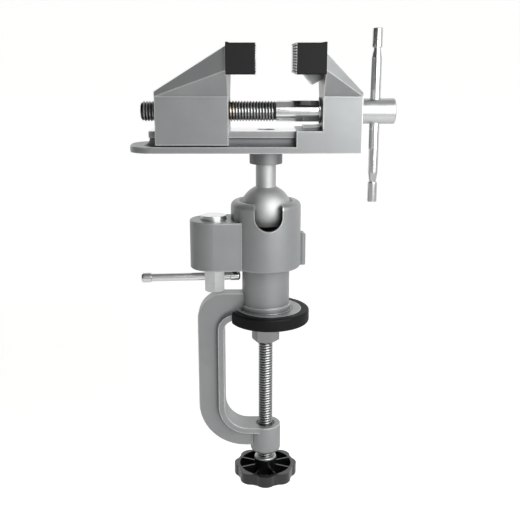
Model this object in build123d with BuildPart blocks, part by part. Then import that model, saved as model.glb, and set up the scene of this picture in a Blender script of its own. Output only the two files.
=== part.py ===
import math
import os

from build123d import *

os.makedirs("parts", exist_ok=True)

# Ball vise that clamps to a table edge. Millimetres, +Z up. The origin is on the post's axis, in the
# plane of the rubber ring's underside, where the table top lies. +X runs along the jaws.

# Fits
run_gap = 0.05  # radial clearance of a shaft that turns in its hole
seat_gap = 0.1  # gap between a fixed piece and its seat
slide_gap = 0.3  # gap between faces that pass each other

# Clamp frame
post_r = 16.8
post_top = 40.5
step_r = 17.8
step_high = 3.9
flange_x = 2.5  # the flange and its ring stand forward of the post, away from the spine
flange_r = 23.0
flange_low = 2.4
flange_thick = 6.9
arm_top = 21.2
spine_out = 48.8  # outer face of the spine, from the post's axis
throat_deep = 29.8  # inner face of the spine, from the post's axis
throat_low = -81.4
arm_low = -97.2
top_bend_r = 19.0
low_bend_r = 33.5
throat_top_r = 8.0
throat_low_r = 17.0
web_half = 5.5
band_half = 10.3
band_thick = 4.4
boss_r = 11.1
boss_low = -103.3
boss_round = 3.0
spigot_r = 11.0
spigot_high = 11.2

# Rubber ring round the flange
ring_r = 28.7
ring_top = 9.3
ring_lip_r = 20.0
ring_round = 1.6
ring_arm_gap = 0.7

# Swivel bolt in the top of the post
bolt_r = 4.0
bolt_head_r = 6.5
bolt_head_high = 4.0
bolt_long = 23.0
bolt_socket = 5.0
bolt_socket_deep = 2.2

# Housing of the ball
housing_turn = 4.6  # degrees that the housing stands turned about the post
housing_r = 24.5
ball_r = 18.0
ball_z = 80.8
housing_over_ball = 7.0
housing_top_round = 4.0
housing_low_round = 1.6
cavity_r = 20.3
socket_gap = 0.2  # round the ball, above its equator
mouth_r = 19.3  # of the housing's open top, which tapers to the socket
mouth_deep = 2.0
slot_half = 9.5
slot_drop = 1.3  # of the middle of the slot's round end below the ball's
rib_out = 3.8
rib_half = 2.2
rib_high = 24.2
rib_round = 3.0
base_top = 66.0
base_floor = 4.0
base_counterbore_r = 7.0
base_screw_r = 2.5
base_screw_long = 9.0
base_screw_up = 6.0
base_screw_room = 0.8  # of the hole past the screw's end
cup_r = 20.0
cup_angle = 22.0  # from the cup's middle to its edge, in degrees

# Lock beside the housing
lock_out = 36.5  # from the post's axis to the lock spindle's
lock_boss_r = 16.7
lock_boss_top = 75.0
lock_boss_round = 0.8
spindle_r = 6.0
eccentric = 0.4
eccentric_half = 4.5
spindle_pin_r = 3.0
spindle_pin_long = 3.0
hub_flats = 13.7
hub_low = 23.3
hub_chamfer = 1.2
disc_r = 9.0
disc_thick = 4.6
disc_sunk = 1.6
disc_room = 0.5
disc_round = 0.6
plunger_r = 3.0
plunger_angle = 66.0  # of the plunger's axis from straight down, about the ball's centre
lever_r = 2.8
lever_z = 33.5
lever_long = 51.4
lever_short = 18.4
lever_knob_r = 3.5
lever_knob_long = 7.0
lever_end_r = 3.2
lever_end_long = 7.0

# Ball stud and its screw
neck_r = 7.0
collar_r = 11.3
collar_low = 113.4
stud_spigot_r = 8.0
stud_spigot_high = 3.8
stud_screw_r = 4.0
stud_screw_deep = 22.0
stud_head_r = 5.9
stud_head_high = 3.4
stud_head_hex = 5.0

# Bed, rail and fixed jaw
bed_low = 122.2
bed_thick = 4.3
bed_half = 20.5
bed_left = -92.0
bed_right = 63.0
bed_corner_r = 16.0
rail_web_half = 8.5
rail_lip_half = 13.6
rail_lip_high = 4.3
rail_high = 9.9
rail_left = -78.2
rail_flare = 4.8
step_left = 20.0
step_rise = 0.5
fixed_face = 37.2
rest_left = 25.0
rest_gusset_left = 32.0
rest_high = 2.0
rest_gusset_high = 2.4
rest_half = 9.0
screw_hole_r = 6.1
screw_hole_deep = 4.5

# Both jaws
shoulder_z = 159.2
flare_z = 176.4
jaw_half = 37.0
moving_face = -24.8
moving_rear = -73.0
moving_slope_face = 191.5
moving_slope_rear = 162.5
fixed_slope_face = 186.9
fixed_slope_rear = 161.8
jaw_floor = 127.7
nose_high = 15.7
nose_half = 36.7
nose_reach = 16.8
pad_low = 173.5
pad_wall = 1.8
pad_round = 1.2
pad_lip = 1.4
pad_lip_proud = 0.5
moving_grip = -6.7
moving_pad_back = -25.6
fixed_grip = 18.5
fixed_pad_back = 37.5
grip_grooves = 10
grip_pitch = 1.75
grip_groove_wide = 0.8
grip_groove_deep = 0.8
v_rib_left = 24.3
v_rib_tip_x = 30.4
v_rib_tip_z = 166.3
v_rib_half = 12.0
gib_in = 8.8
gib_out = 18.0
gib_low = 127.9
gib_end_gap = 0.6
gib_screw_y = 15.6
gib_screw_apart = 30.0
gib_screw_r = 1.5
gib_screw_head_r = 2.4
gib_screw_long = 11.0

# Lead screw and its bar
lead_z = 148.7
lead_r = 6.95
lead_pitch = 2.0
lead_root = 1.1
lead_left = -84.3
lead_tip = 2.0
lead_thread_end = 6.8
shank_r = 7.1
head_r = 8.55
head_left = 63.3
head_right = 86.9
nut_r = 10.0
nut_left = -49.7
rear_bore_r = 7.5
clip_over_gusset = 0.2
clip_thick = 1.5
clip_groove_deep = 1.3
bar_x = 73.7
bar_r = 3.55
bar_top = 202.8
bar_low = 86.6
cap_r = 3.45
top_cap_long = 12.8
low_cap_long = 14.1
bar_neck_r = 2.3
bar_taper_long = 7.0
bar_tail = 6.0

# Clamp screw, foot and knob
screw_r = 5.2
screw_pitch = 2.0
screw_root = 0.8
toe_r = 5.7  # ball at the top of the clamp screw
toe_z = -9.0
toe_neck_r = 3.9
washer_r = 4.4
washer_thick = 0.6
foot_r = 16.0
foot_thick = 3.0
foot_hub_flats = 17.5
foot_hub_turn = -7.0
foot_low = -15.5
foot_roof = 1.5
foot_pocket_r = 6.1
foot_mouth_r = 5.2
foot_mouth_long = 4.0
knob_r = 23.3
knob_valley_r = 21.2
knob_lobe_r = 8.0
knob_lobes = 8
knob_low = -123.5
knob_high = 9.0
knob_floor = 2.2
knob_wall = 2.0
knob_hub_r = 8.3
knob_hub_high = 13.5
knob_rib_thick = 1.4
knob_screw_deep = 7.0
knob_nut_r = 8.0
knob_nut_high = 2.0

# Directions of the turned housing
turn = math.radians(housing_turn)
to_boss = Vector(-math.cos(turn), -math.sin(turn), 0)
to_slot = Vector(math.sin(turn), -math.cos(turn), 0)


def turned(height):
    """A level plane at this height, turned about the post with the housing."""
    return Plane(origin=(0, 0, height), x_dir=-to_boss, z_dir=(0, 0, 1))


def grooved(start, end, radius, root, pitch):
    """Outline of a grooved rod, as (distance along the rod, radius) from start to end."""
    points = [(start, radius - root)]
    for turn_number in range(int((end - start) / pitch)):
        left = start + turn_number * pitch
        points.append((left + 0.4 * pitch, radius))
        points.append((left + 0.6 * pitch, radius))
        points.append((left + pitch, radius - root))
    points.append((end, radius - root))
    return points


# Clamp frame: web of the C, its inner band, flange, post and threaded boss
flange_top = flange_low + flange_thick
with BuildPart() as clamp_frame:
    with BuildSketch(Plane.XZ):
        with BuildLine():
            upper = Line((0, arm_top), (top_bend_r - spine_out, arm_top))
            bend = TangentArc(upper @ 1, (-spine_out, arm_top - top_bend_r), tangent=(-1, 0))
            back = Line(bend @ 1, (-spine_out, arm_low + low_bend_r))
            turn_in = TangentArc(back @ 1, (low_bend_r - spine_out, arm_low), tangent=(0, -1))
            lower = Line(turn_in @ 1, (0, arm_low))
            end = Line(lower @ 1, (0, throat_low))
            inner = Line(end @ 1, (throat_low_r - throat_deep, throat_low))
            corner = TangentArc(inner @ 1, (-throat_deep, throat_low + throat_low_r), tangent=(-1, 0))
            rise = Line(corner @ 1, (-throat_deep, flange_low - throat_top_r))
            over = TangentArc(rise @ 1, (throat_top_r - throat_deep, flange_low), tangent=(0, 1))
            under = Line(over @ 1, (0, flange_low))
            Line(under @ 1, upper @ 0)
        make_face()
    extrude(amount=web_half, both=True)
    with BuildSketch(Plane.XZ):
        with BuildLine():
            inner = Line((0, throat_low), (throat_low_r - throat_deep, throat_low))
            corner = TangentArc(inner @ 1, (-throat_deep, throat_low + throat_low_r), tangent=(-1, 0))
            rise = Line(corner @ 1, (-throat_deep, flange_low - throat_top_r))
            over = TangentArc(rise @ 1, (throat_top_r - throat_deep, flange_low), tangent=(0, 1))
            under = Line(over @ 1, (0, flange_low))
            up = Line(under @ 1, (0, flange_low + band_thick))
            top = Line(up @ 1, (throat_top_r - throat_deep, flange_low + band_thick))
            fall = TangentArc(
                top @ 1, (-throat_deep - band_thick, flange_low - throat_top_r), tangent=(-1, 0)
            )
            back = Line(fall @ 1, (-throat_deep - band_thick, throat_low + throat_low_r))
            round_in = TangentArc(
                back @ 1, (throat_low_r - throat_deep, throat_low - band_thick), tangent=(0, -1)
            )
            lower = Line(round_in @ 1, (0, throat_low - band_thick))
            Line(lower @ 1, inner @ 0)
        make_face()
    extrude(amount=band_half, both=True)
    with BuildSketch(Plane.XY.offset(flange_low)):
        with Locations((flange_x, 0)):
            Circle(flange_r)
    extrude(amount=flange_thick)
    with BuildSketch(Plane.XY.offset(flange_low)):
        Circle(step_r)
    extrude(amount=flange_thick + step_high)
    with BuildSketch(Plane.XY.offset(flange_low)):
        Circle(post_r)
    extrude(amount=post_top - flange_low)
    with BuildSketch(Plane.XY.offset(post_top)):
        Circle(spigot_r)
    extrude(amount=spigot_high)
    with BuildSketch(Plane.XY.offset(boss_low)):
        Circle(boss_r)
    extrude(amount=throat_low - boss_low)
    fillet(clamp_frame.faces().sort_by(Axis.Z)[0].edges(), boss_round)
    # holes of the clamp screw and of the swivel bolt
    with BuildSketch(Plane.XY.offset(boss_low)):
        Circle(screw_r + seat_gap)
    extrude(amount=throat_low - boss_low, mode=Mode.SUBTRACT)
    spigot_top = post_top + spigot_high
    bolt_seat = spigot_top + slide_gap + base_floor
    with BuildSketch(Plane.XY.offset(spigot_top)):
        Circle(bolt_r + seat_gap)
    extrude(amount=bolt_seat - bolt_long - 1 - spigot_top, mode=Mode.SUBTRACT)
clamp_frame.part.label = "clamp_frame"

# Rubber ring: a step round the flange with a lip beneath it, open where the arm passes
with BuildPart() as table_ring:
    with BuildSketch(Plane.XZ):
        with BuildLine():
            Polyline(
                (flange_x + ring_lip_r, 0),
                (flange_x + ring_r, 0),
                (flange_x + ring_r, ring_top),
                (flange_x + flange_r + seat_gap, ring_top),
                (flange_x + flange_r + seat_gap, flange_low - seat_gap),
                (flange_x + ring_lip_r, flange_low - seat_gap),
                close=True,
            )
        make_face()
    revolve(axis=Axis((flange_x, 0, 0), (0, 0, 1)))
    fillet(table_ring.edges().filter_by(GeomType.CIRCLE).group_by(SortBy.RADIUS)[-1], ring_round)
    with BuildSketch(Plane.XY):
        with Locations((flange_x - ring_r, 0)):
            Rectangle(2 * ring_r, 2 * (band_half + ring_arm_gap))
    extrude(amount=ring_top, mode=Mode.SUBTRACT)
table_ring.part.label = "table_ring"

# Swivel bolt: holds the housing's base down on the post
bolt_head_low = bolt_seat + seat_gap
with BuildPart() as swivel_bolt:
    with BuildSketch(Plane.XY.offset(bolt_head_low)):
        Circle(bolt_head_r)
    extrude(amount=bolt_head_high)
    chamfer(swivel_bolt.faces().sort_by(Axis.Z)[-1].edges(), 0.5)
    with BuildSketch(Plane.XY.offset(bolt_head_low)):
        Circle(bolt_r)
    extrude(amount=-bolt_long)
    with BuildSketch(Plane.XY.offset(bolt_head_low + bolt_head_high)):
        RegularPolygon(bolt_socket / 2, 6, major_radius=False)
    extrude(amount=-bolt_socket_deep, mode=Mode.SUBTRACT)
swivel_bolt.part.label = "swivel_bolt"

# Housing: drum with a neck slot, the boss of the lock and a rib on the far side
housing_low = post_top + slide_gap
housing_top = ball_z + housing_over_ball
mouth_low_r = math.sqrt((ball_r + socket_gap) ** 2 - (housing_over_ball - mouth_deep) ** 2)
disc_seat = lock_boss_top - disc_sunk - slide_gap
slot_plane = Plane(origin=(0, 0, ball_z), x_dir=-to_boss, z_dir=to_slot)
plunger_lean = math.radians(plunger_angle)
plunger_dir = to_boss * math.sin(plunger_lean) + Vector(0, 0, -math.cos(plunger_lean))
plunger_plane = Plane(origin=(0, 0, ball_z), x_dir=to_slot, z_dir=plunger_dir)
base_screw_z = housing_low + base_screw_up
base_screw_planes = [
    Plane(
        origin=(0, 0, base_screw_z),
        x_dir=(0, 0, 1),
        z_dir=(math.cos(math.radians(angle)), math.sin(math.radians(angle)), 0),
    )
    for angle in (45 + housing_turn, 135 + housing_turn)
]
with BuildPart() as housing_rib:
    with BuildSketch(turned(housing_low)):
        with Locations((housing_r - 1, 0)):
            SlotCenterToCenter(2 * (rib_out - rib_half + 1), 2 * rib_half)
    extrude(amount=rib_high)
    with BuildSketch(Plane(origin=(0, 0, housing_low), x_dir=-to_boss, z_dir=to_slot)):
        with Locations(((housing_r + rib_out) / 2, rib_high / 2)):
            Rectangle(housing_r + rib_out, rib_high)
        fillet(vertices().group_by(Axis.X)[-1].sort_by(Axis.Y)[-1], rib_round)
    extrude(amount=rib_half, both=True, mode=Mode.INTERSECT)
with BuildPart() as housing:
    with BuildSketch(turned(housing_low)):
        with Locations((-lock_out, 0)):
            Circle(lock_boss_r)
        with Locations((-lock_out / 2, 0)):
            Rectangle(lock_out, 2 * lock_boss_r)
    extrude(amount=lock_boss_top - housing_low)
    fillet(housing.faces().sort_by(Axis.Z)[-1].edges(), lock_boss_round)
    fillet(housing.faces().sort_by(Axis.Z)[0].edges(), lock_boss_round)
    with BuildSketch(Plane.XZ):
        with Locations((housing_r / 2, (housing_low + housing_top) / 2)):
            Rectangle(housing_r, housing_top - housing_low)
        fillet(vertices().group_by(Axis.X)[-1].sort_by(Axis.Y)[-1], housing_top_round)
        fillet(vertices().group_by(Axis.X)[-1].sort_by(Axis.Y)[0], housing_low_round)
    revolve(axis=Axis.Z)
    add(housing_rib.part)
    # cavity that the base and the ball come up through, and the socket above the ball's equator
    with BuildSketch(turned(housing_low)):
        Circle(cavity_r)
    extrude(amount=ball_z - housing_low, mode=Mode.SUBTRACT)
    with Locations((0, 0, ball_z)):
        Sphere(ball_r + socket_gap, mode=Mode.SUBTRACT)
    # mouth that opens out above the socket
    with BuildSketch(Plane.XZ):
        with BuildLine():
            Polyline(
                (0, housing_top - mouth_deep),
                (mouth_low_r, housing_top - mouth_deep),
                (mouth_r, housing_top),
                (0, housing_top),
                close=True,
            )
        make_face()
    revolve(axis=Axis.Z, mode=Mode.SUBTRACT)
    # slot that the stud's neck drops into
    with BuildSketch(slot_plane):
        with Locations((0, -slot_drop)):
            Circle(slot_half)
        with Locations((0, slot_half - slot_drop)):
            Rectangle(2 * slot_half, 2 * slot_half)
    extrude(amount=housing_r + 1, mode=Mode.SUBTRACT)
    # bore of the lock spindle, seat of its disc and way of the plunger
    with BuildSketch(turned(housing_low)):
        with Locations((-lock_out, 0)):
            Circle(spindle_r + run_gap)
    extrude(amount=lock_boss_top - housing_low, mode=Mode.SUBTRACT)
    with BuildSketch(turned(disc_seat)):
        with Locations((-lock_out, 0)):
            Circle(disc_r + disc_room)
    extrude(amount=lock_boss_top - disc_seat, mode=Mode.SUBTRACT)
    with BuildSketch(plunger_plane.offset(ball_r)):
        Circle(plunger_r + run_gap)
    extrude(amount=lock_out - ball_r, mode=Mode.SUBTRACT)
    # holes of the two screws that fix the base, at the back
    for plane in base_screw_planes:
        with BuildSketch(plane.offset(cavity_r - 1)):
            Circle(base_screw_r + run_gap)
        extrude(amount=housing_r - cavity_r + 2, mode=Mode.SUBTRACT)
housing.part.label = "housing"

# Base of the socket: turns on the post's spigot and carries the cup
with BuildPart() as socket_base:
    with BuildSketch(turned(housing_low)):
        Circle(cavity_r - seat_gap)
    extrude(amount=base_top - housing_low)
    with Locations((0, 0, ball_z)):
        Sphere(cavity_r, mode=Mode.SUBTRACT)
    with BuildSketch(turned(housing_low)):
        Circle(spigot_r + run_gap)
    extrude(amount=spigot_top + slide_gap - housing_low, mode=Mode.SUBTRACT)
    with BuildSketch(turned(spigot_top)):
        Circle(bolt_r + seat_gap)
    extrude(amount=base_floor + 1, mode=Mode.SUBTRACT)
    with BuildSketch(turned(bolt_seat)):
        Circle(base_counterbore_r)
    extrude(amount=base_top - bolt_seat, mode=Mode.SUBTRACT)
    for plane in base_screw_planes:
        with BuildSketch(plane.offset(housing_r - slide_gap)):
            Circle(base_screw_r + run_gap)
        extrude(amount=-(base_screw_long + base_screw_room), mode=Mode.SUBTRACT)
socket_base.part.label = "socket_base"

# Headless screws through the housing into the base
with BuildPart() as base_screws:
    for plane in base_screw_planes:
        with BuildSketch(plane.offset(housing_r - slide_gap)):
            Circle(base_screw_r)
        extrude(amount=-base_screw_long)
        with BuildSketch(plane.offset(housing_r - slide_gap)):
            RegularPolygon(base_screw_r / 2, 6, major_radius=False)
        extrude(amount=-base_screw_r, mode=Mode.SUBTRACT)
base_screws.part.label = "base_screws"

# Cup that carries the ball
with BuildPart() as seat_cup:
    with BuildSketch(Plane.XZ):
        with BuildLine():
            reach = math.radians(cup_angle)
            inner_r = ball_r + seat_gap
            outer_arc = ThreePointArc(
                (0, ball_z - cup_r),
                (cup_r * math.sin(reach / 2), ball_z - cup_r * math.cos(reach / 2)),
                (cup_r * math.sin(reach), ball_z - cup_r * math.cos(reach)),
            )
            edge = Line(
                outer_arc @ 1, (inner_r * math.sin(reach), ball_z - inner_r * math.cos(reach))
            )
            inner_arc = ThreePointArc(
                edge @ 1,
                (inner_r * math.sin(reach / 2), ball_z - inner_r * math.cos(reach / 2)),
                (0, ball_z - inner_r),
            )
            Line(inner_arc @ 1, outer_arc @ 0)
        make_face()
    revolve(axis=Axis.Z)
seat_cup.part.label = "seat_cup"

# Lock spindle: six-sided hub, journal, eccentric and a pin for the disc
lock_axis_at = to_boss * lock_out
hub_top = housing_low - slide_gap
hub_corner_r = hub_flats / math.sqrt(3)
eccentric_r = spindle_r - eccentric
plunger_tail = (lock_out - spindle_r - slide_gap - plunger_r) / math.sin(plunger_lean)
eccentric_z = ball_z - plunger_tail * math.cos(plunger_lean)
with BuildPart() as lock_spindle:
    with BuildSketch(turned(hub_low)):
        with Locations((-lock_out, 0)):
            RegularPolygon(hub_flats / 2, 6, major_radius=False, rotation=30)
    extrude(amount=hub_top - hub_low)
    with BuildSketch(Plane(origin=lock_axis_at, x_dir=-to_boss, z_dir=to_slot)):
        with BuildLine():
            Polyline(
                (0, hub_low),
                (hub_flats / 2 - 0.2, hub_low),
                (hub_corner_r + 0.2, hub_low + hub_chamfer),
                (hub_corner_r + 0.2, hub_top),
                (0, hub_top),
                close=True,
            )
        make_face()
    revolve(axis=Axis(lock_axis_at, (0, 0, 1)), mode=Mode.INTERSECT)
    with BuildSketch(turned(hub_top)):
        with Locations((-lock_out, 0)):
            Circle(spindle_r)
    extrude(amount=eccentric_z - eccentric_half - hub_top)
    with BuildSketch(turned(eccentric_z - eccentric_half)):
        with Locations((eccentric - lock_out, 0)):
            Circle(eccentric_r)
    extrude(amount=disc_seat - eccentric_z + eccentric_half)
    with BuildSketch(turned(disc_seat)):
        with Locations((-lock_out, 0)):
            Circle(spindle_pin_r)
    extrude(amount=slide_gap + spindle_pin_long)
    with BuildSketch(Plane(origin=(0, 0, lever_z), x_dir=(0, 0, 1), z_dir=to_boss)):
        Circle(lever_r + run_gap)
    extrude(amount=2 * lock_out, mode=Mode.SUBTRACT)
lock_spindle.part.label = "lock_spindle"

# Polished disc on the spindle's pin
with BuildPart() as lock_disc:
    with BuildSketch(turned(disc_seat + slide_gap)):
        with Locations((-lock_out, 0)):
            Circle(disc_r)
    extrude(amount=disc_thick)
    fillet(lock_disc.faces().sort_by(Axis.Z)[-1].edges(), disc_round)
    with BuildSketch(turned(disc_seat + slide_gap)):
        with Locations((-lock_out, 0)):
            Circle(spindle_pin_r + seat_gap / 2)
    extrude(amount=spindle_pin_long + seat_gap, mode=Mode.SUBTRACT)
lock_disc.part.label = "lock_disc"

# Plunger between the eccentric and the ball, hollowed to the ball and domed at its tail
with BuildPart() as lock_plunger:
    with BuildSketch(plunger_plane.offset(ball_r)):
        Circle(plunger_r)
    extrude(amount=plunger_tail - ball_r)
    with Locations(plunger_dir * plunger_tail + Vector(0, 0, ball_z)):
        Sphere(plunger_r)
    with Locations((0, 0, ball_z)):
        Sphere(ball_r + slide_gap, mode=Mode.SUBTRACT)
lock_plunger.part.label = "lock_plunger"

# Lever through the hub, with a knob on each end
lever_plane = Plane(origin=(0, 0, lever_z), x_dir=(0, 0, 1), z_dir=to_boss)
lever_far = lock_out + lever_long - lever_knob_long
lever_near = lock_out - lever_short + lever_end_long
with BuildPart() as lock_lever:
    with BuildSketch(lever_plane.offset(lever_near)):
        Circle(lever_r)
    extrude(amount=lever_far - lever_near)
lock_lever.part.label = "lock_lever"

with BuildPart() as lever_knobs:
    with BuildSketch(lever_plane.offset(lever_far)):
        Circle(lever_knob_r)
    extrude(amount=lever_knob_long)
    fillet(lever_knobs.faces().sort_by(Axis((0, 0, 0), to_boss))[-1].edges(), 1.8)
    with BuildSketch(lever_plane.offset(lever_near)):
        Circle(lever_end_r)
    extrude(amount=-lever_end_long)
    fillet(lever_knobs.faces().sort_by(Axis((0, 0, 0), to_boss))[0].edges(), 1.8)
lever_knobs.part.label = "lever_knobs"

# Ball stud: ball, neck and the collar that the bed turns on
collar_top = bed_low - slide_gap
with BuildPart() as ball_stud:
    with Locations((0, 0, ball_z)):
        Sphere(ball_r)
    with BuildSketch(Plane.XY.offset(ball_z)):
        Circle(neck_r)
    extrude(amount=collar_low - ball_z)
    with BuildSketch(Plane.XY.offset(collar_low)):
        Circle(collar_r)
    extrude(amount=collar_top - collar_low)
    chamfer(ball_stud.faces().sort_by(Axis.Z)[-1].edges(), 0.4)
    with BuildSketch(Plane.XY.offset(collar_top)):
        Circle(stud_spigot_r)
    extrude(amount=slide_gap + stud_spigot_high)
    with BuildSketch(Plane.XY.offset(bed_low + stud_spigot_high)):
        Circle(stud_screw_r + seat_gap)
    extrude(amount=-stud_screw_deep, mode=Mode.SUBTRACT)
ball_stud.part.label = "ball_stud"

# Screw that holds the bed down on the stud
bed_top = bed_low + bed_thick
rail_top = bed_low + bed_thick + rail_high
stud_head_seat = rail_top - screw_hole_deep
with BuildPart() as stud_screw:
    with BuildSketch(Plane.XY.offset(stud_head_seat + seat_gap)):
        Circle(stud_head_r)
    extrude(amount=stud_head_high)
    chamfer(stud_screw.faces().sort_by(Axis.Z)[-1].edges(), 0.5)
    with BuildSketch(Plane.XY.offset(stud_head_seat + seat_gap + stud_head_high)):
        RegularPolygon(stud_head_hex / 2, 6, major_radius=False)
    extrude(amount=-0.6 * stud_head_high, mode=Mode.SUBTRACT)
    with BuildSketch(Plane.XY.offset(stud_head_seat + seat_gap)):
        Circle(stud_screw_r)
    extrude(amount=bed_low + stud_spigot_high - stud_screw_deep + 1 - stud_head_seat)
stud_screw.part.label = "stud_screw"


def jaw_head(face, rear, slope_face, slope_rear, pad_back):
    """Upper part of a jaw: wide at its face, narrow at its rear, with a nose for the pad."""
    towards = 1 if face > rear else -1
    beyond = rear - towards * 5
    with BuildSketch(Plane.XY.offset(shoulder_z)) as plan:
        with BuildLine():
            Polyline(
                (rear, -bed_half),
                (face, -jaw_half),
                (face, jaw_half),
                (rear, bed_half),
                close=True,
            )
        make_face()
    extrude(plan.sketch, amount=slope_face - shoulder_z)
    with BuildSketch(Plane.XZ) as above:
        with BuildLine():
            Polyline(
                (face, slope_face),
                (rear, slope_rear),
                (beyond, slope_rear),
                (beyond, slope_face + 5),
                (face, slope_face + 5),
                close=True,
            )
        make_face()
    extrude(above.sketch, amount=jaw_half + 1, both=True, mode=Mode.SUBTRACT)
    # the flare under each side
    steep = (flare_z - shoulder_z) / (jaw_half - bed_half)
    for side in (-1, 1):
        with BuildSketch(Plane.YZ.offset(min(face, rear) - 1)) as flare:
            with BuildLine():
                Polyline(
                    (side * bed_half, shoulder_z),
                    (side * (jaw_half + 3), shoulder_z),
                    (side * (jaw_half + 3), shoulder_z + steep * (jaw_half + 3 - bed_half)),
                    close=True,
                )
            make_face()
        extrude(flare.sketch, amount=abs(face - rear) + 2, mode=Mode.SUBTRACT)
    # room for the back edge of the pad, then the nose that the pad slips over
    room_back = pad_back - towards * seat_gap
    with BuildSketch(Plane.XY.offset(pad_low - seat_gap)) as room:
        with Locations(((face + room_back) / 2 + towards * 1, 0)):
            Rectangle(abs(face - room_back) + 2, 2 * jaw_half + 4)
    extrude(room.sketch, amount=slope_face - pad_low + 2, mode=Mode.SUBTRACT)
    with BuildSketch(Plane.XY.offset(pad_low + pad_wall)) as nose:
        with Locations(((room_back + pad_back) / 2 + towards * nose_reach / 2, 0)):
            Rectangle(nose_reach + seat_gap, 2 * nose_half)
    extrude(nose.sketch, amount=nose_high)


# Bed with the rail and the fixed jaw, one casting
step_top = rail_top + step_rise
with BuildPart() as bed:
    with BuildSketch(Plane.XY.offset(bed_low)):
        with Locations(((bed_left + bed_right) / 2, 0)):
            Rectangle(bed_right - bed_left, 2 * bed_half)
        fillet(vertices().group_by(Axis.X)[0], bed_corner_r)
    extrude(amount=bed_thick)
    # T-shaped rail with a flared foot at its end
    with BuildSketch(Plane.XZ):
        with BuildLine():
            foot = TangentArc(
                (rail_left - rail_flare, bed_top), (rail_left, bed_top + rail_flare), tangent=(1, 0)
            )
            end = Line(foot @ 1, (rail_left, rail_top))
            along = Line(end @ 1, (step_left, rail_top))
            down = Line(along @ 1, (step_left, bed_top))
            Line(down @ 1, foot @ 0)
        make_face()
    extrude(amount=rail_web_half, both=True)
    with BuildSketch(Plane.YZ.offset(rail_left)):
        with Locations((0, rail_top - rail_lip_high / 2)):
            Rectangle(2 * rail_lip_half, rail_lip_high)
    extrude(amount=step_left - rail_left)
    # fixed jaw: step, block and head
    with BuildSketch(Plane.XZ):
        with BuildLine():
            Polyline(
                (step_left, bed_low),
                (bed_right, bed_low),
                (bed_right, shoulder_z),
                (fixed_face, shoulder_z),
                (fixed_face, step_top),
                (step_left, step_top),
                close=True,
            )
        make_face()
    extrude(amount=bed_half, both=True)
    jaw_head(fixed_face, bed_right, fixed_slope_face, fixed_slope_rear, fixed_pad_back)
    with BuildSketch(Plane.XZ):
        with BuildLine():
            Polyline(
                (rest_left, step_top),
                (fixed_face, step_top),
                (fixed_face, step_top + rest_gusset_high),
                (rest_gusset_left, step_top + rest_high),
                (rest_left, step_top + rest_high),
                close=True,
            )
        make_face()
    extrude(amount=rest_half, both=True)
    with BuildSketch(Plane.XZ):
        with BuildLine():
            Polyline(
                (v_rib_left, pad_low - seat_gap),
                (fixed_face, pad_low - seat_gap),
                (fixed_face, (pad_low + v_rib_tip_z) / 2),
                (v_rib_tip_x, v_rib_tip_z),
                close=True,
            )
        make_face()
    extrude(amount=v_rib_half, both=True)
    # bearing of the lead screw, and the holes of the stud's screw and spigot
    with BuildSketch(Plane.YZ.offset(rest_left - 1)):
        with Locations((0, lead_z)):
            Circle(shank_r + run_gap)
    extrude(amount=bed_right + 2 - rest_left, mode=Mode.SUBTRACT)
    with BuildSketch(Plane.XY.offset(stud_head_seat)):
        Circle(screw_hole_r)
    extrude(amount=screw_hole_deep, mode=Mode.SUBTRACT)
    with BuildSketch(Plane.XY.offset(bed_low)):
        Circle(stud_screw_r + seat_gap)
    extrude(amount=stud_head_seat - bed_low, mode=Mode.SUBTRACT)
    with BuildSketch(Plane.XY.offset(bed_low)):
        Circle(stud_spigot_r + run_gap)
    extrude(amount=stud_spigot_high + seat_gap, mode=Mode.SUBTRACT)
bed.part.label = "bed"

# Moving jaw: a saddle on the rail with the same head, facing the other way
rail_lip_low = rail_top - rail_lip_high
gib_top = rail_lip_low - slide_gap
gib_screw_middle = (moving_face + moving_rear) / 2
gib_screw_places = [
    (gib_screw_middle + step * gib_screw_apart / 2, side * gib_screw_y)
    for step in (-1, 1)
    for side in (-1, 1)
]
with BuildPart() as moving_jaw:
    with BuildSketch(Plane.XZ):
        with BuildLine():
            Polyline(
                (moving_rear, jaw_floor),
                (moving_face, jaw_floor),
                (moving_face, shoulder_z),
                (moving_rear, shoulder_z),
                close=True,
            )
        make_face()
    extrude(amount=bed_half, both=True)
    jaw_head(moving_face, moving_rear, moving_slope_face, moving_slope_rear, moving_pad_back)
    # room for the rail and, under its lips, for the gib strips
    with BuildSketch(Plane.YZ.offset(moving_rear - 1)):
        with Locations((0, (jaw_floor + rail_top + slide_gap) / 2)):
            Rectangle(2 * (rail_lip_half + slide_gap), rail_top + slide_gap - jaw_floor)
    extrude(amount=moving_face - moving_rear + 2, mode=Mode.SUBTRACT)
    with BuildSketch(Plane.XY.offset(jaw_floor)):
        with Locations((gib_screw_middle, 0)):
            Rectangle(
                moving_face - moving_rear - 2 * (gib_end_gap - seat_gap), 2 * (gib_out + seat_gap)
            )
    extrude(amount=gib_top + seat_gap - jaw_floor, mode=Mode.SUBTRACT)
    with BuildSketch(Plane.XY.offset(gib_top)):
        with Locations(*gib_screw_places):
            Circle(gib_screw_r + seat_gap)
    extrude(amount=gib_screw_long, mode=Mode.SUBTRACT)
    # bore of the lead screw and the pocket of its nut
    with BuildSketch(Plane.YZ.offset(moving_rear - 1)):
        with Locations((0, lead_z)):
            Circle(rear_bore_r)
    extrude(amount=moving_face - moving_rear + 2, mode=Mode.SUBTRACT)
    with BuildSketch(Plane.YZ.offset(nut_left - seat_gap)):
        with Locations((0, lead_z)):
            Circle(nut_r + seat_gap / 2)
    extrude(amount=moving_face - nut_left + 1, mode=Mode.SUBTRACT)
moving_jaw.part.label = "moving_jaw"

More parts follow.
